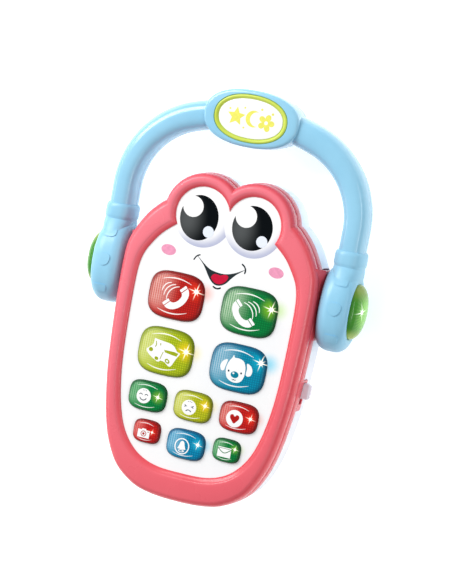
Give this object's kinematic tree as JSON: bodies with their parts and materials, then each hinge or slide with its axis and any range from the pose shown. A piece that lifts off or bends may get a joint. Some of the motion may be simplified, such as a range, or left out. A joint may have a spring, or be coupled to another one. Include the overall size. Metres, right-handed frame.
{
  "type": "toy cell phone",
  "caption": "Rounded toy cell phone with a cartoon face, coloured icon push buttons and a hinged headphone-shaped carrying handle with lit ear cups.",
  "frame": {"origin": "centre of the bounding box's footprint to within 1 mm, on the flat back of the phone that it lies on", "axes": "+X across the phone to the power switch's side, +Y along it towards the eyes and the handle, +Z out of the face"},
  "size_m": [0.1392, 0.1981, 0.0322],
  "materials": {
    "coral_plastic": "glossy moulded, soft sheen",
    "white_panel": "glossy, printed",
    "white_casing": "satin moulded",
    "sky_plastic": "satin moulded",
    "lime_plastic": "glossy moulded",
    "lilac_plastic": "satin moulded",
    "red_lens": "clear tinted, ribbed underneath",
    "green_lens": "clear tinted, ribbed underneath",
    "lime_lens": "clear tinted, ribbed underneath",
    "blue_lens": "clear tinted, ribbed underneath",
    "ear_lens_green": "clear tinted dome",
    "screw_steel": "plated",
    "board_laminate": "solder-masked laminate",
    "chip_resin": "epoxy",
    "lamp_resin": "clear resin",
    "silicone": "matte silicone",
    "speaker_black": "paper cone in a metal basket",
    "wire_jacket": "stranded wire jacket",
    "cell_jacket": "plain shrink sleeve",
    "contact_metal": "nickel plated",
    "switch_metal": "tinned",
    "switch_plastic": "moulded"
  },
  "bodies": {
    "root": {"front_bezel": "coral_plastic", "face_panel": "white_panel", "rear_cover": "white_casing", "case_screws": "screw_steel", "circuit_board": "board_laminate", "board_screws": "screw_steel", "sound_chip": "chip_resin", "board_lamps": "lamp_resin", "button_membrane": "silicone", "speaker": "speaker_black", "speaker_leads": "wire_jacket", "batteries": "cell_jacket", "battery_springs": "contact_metal", "battery_contacts": "contact_metal", "battery_leads": "wire_jacket", "slide_switch": "switch_metal", "ear_lamp_lead_left": "wire_jacket", "ear_lamp_lead_right": "wire_jacket"},
    "handle": {"handle_front": "sky_plastic", "handle_rear": "sky_plastic", "handle_screws": "screw_steel", "badge_ring": "lime_plastic", "badge_plate": "white_panel", "ear_cup_left": "sky_plastic", "ear_cup_right": "sky_plastic", "ear_cover_left": "sky_plastic", "ear_cover_right": "sky_plastic", "ear_lens_left": "ear_lens_green", "ear_lens_right": "ear_lens_green", "ear_lamp_left": "lamp_resin", "ear_lamp_right": "lamp_resin", "pivot_clip_left": "screw_steel", "pivot_clip_right": "screw_steel"},
    "battery_door": {"battery_door": "white_casing", "battery_door_screw": "screw_steel"},
    "power_knob": {"power_knob": "lilac_plastic", "switch_lever": "switch_plastic"},
    "end_call": {"end_call_button": "red_lens"},
    "call": {"call_button": "green_lens"},
    "car": {"car_button": "lime_lens"},
    "dog": {"dog_button": "blue_lens"},
    "smile": {"smile_button": "green_lens"},
    "sad": {"sad_button": "lime_lens"},
    "heart": {"heart_button": "red_lens"},
    "camera": {"camera_button": "red_lens"},
    "bell": {"bell_button": "blue_lens"},
    "mail": {"mail_button": "green_lens"}
  },
  "joints": [
    {"name": "handle_hinge", "type": "hinge", "parent": "root", "child": "handle", "pos_m": [0, 0.006, 0.015], "axis": [1, 0, 0], "range_deg": [-150, 150]},
    {"name": "battery_door_hinge", "type": "hinge", "parent": "root", "child": "battery_door", "pos_m": [0, -0.04, 0.0003], "axis": [1, 0, 0], "range_deg": [0, 75]},
    {"name": "power_slide", "type": "slide", "parent": "root", "child": "power_knob", "axis": [0, 1, 0], "range_m": [-0.0026, 0]},
    {"name": "end_call_press", "type": "slide", "parent": "root", "child": "end_call", "axis": [0, 0, -1], "range_m": [0, 0.0015], "stiffness_N_per_m": 800, "deforming": ["button_membrane"]},
    {"name": "call_press", "type": "slide", "parent": "root", "child": "call", "axis": [0, 0, -1], "range_m": [0, 0.0015], "stiffness_N_per_m": 800, "deforming": ["button_membrane"]},
    {"name": "car_press", "type": "slide", "parent": "root", "child": "car", "axis": [0, 0, -1], "range_m": [0, 0.0015], "stiffness_N_per_m": 800, "deforming": ["button_membrane"]},
    {"name": "dog_press", "type": "slide", "parent": "root", "child": "dog", "axis": [0, 0, -1], "range_m": [0, 0.0015], "stiffness_N_per_m": 800, "deforming": ["button_membrane"]},
    {"name": "smile_press", "type": "slide", "parent": "root", "child": "smile", "axis": [0, 0, -1], "range_m": [0, 0.0015], "stiffness_N_per_m": 800, "deforming": ["button_membrane"]},
    {"name": "sad_press", "type": "slide", "parent": "root", "child": "sad", "axis": [0, 0, -1], "range_m": [0, 0.0015], "stiffness_N_per_m": 800, "deforming": ["button_membrane"]},
    {"name": "heart_press", "type": "slide", "parent": "root", "child": "heart", "axis": [0, 0, -1], "range_m": [0, 0.0015], "stiffness_N_per_m": 800, "deforming": ["button_membrane"]},
    {"name": "camera_press", "type": "slide", "parent": "root", "child": "camera", "axis": [0, 0, -1], "range_m": [0, 0.0015], "stiffness_N_per_m": 800, "deforming": ["button_membrane"]},
    {"name": "bell_press", "type": "slide", "parent": "root", "child": "bell", "axis": [0, 0, -1], "range_m": [0, 0.0015], "stiffness_N_per_m": 800, "deforming": ["button_membrane"]},
    {"name": "mail_press", "type": "slide", "parent": "root", "child": "mail", "axis": [0, 0, -1], "range_m": [0, 0.0015], "stiffness_N_per_m": 800, "deforming": ["button_membrane"]}
  ]
}
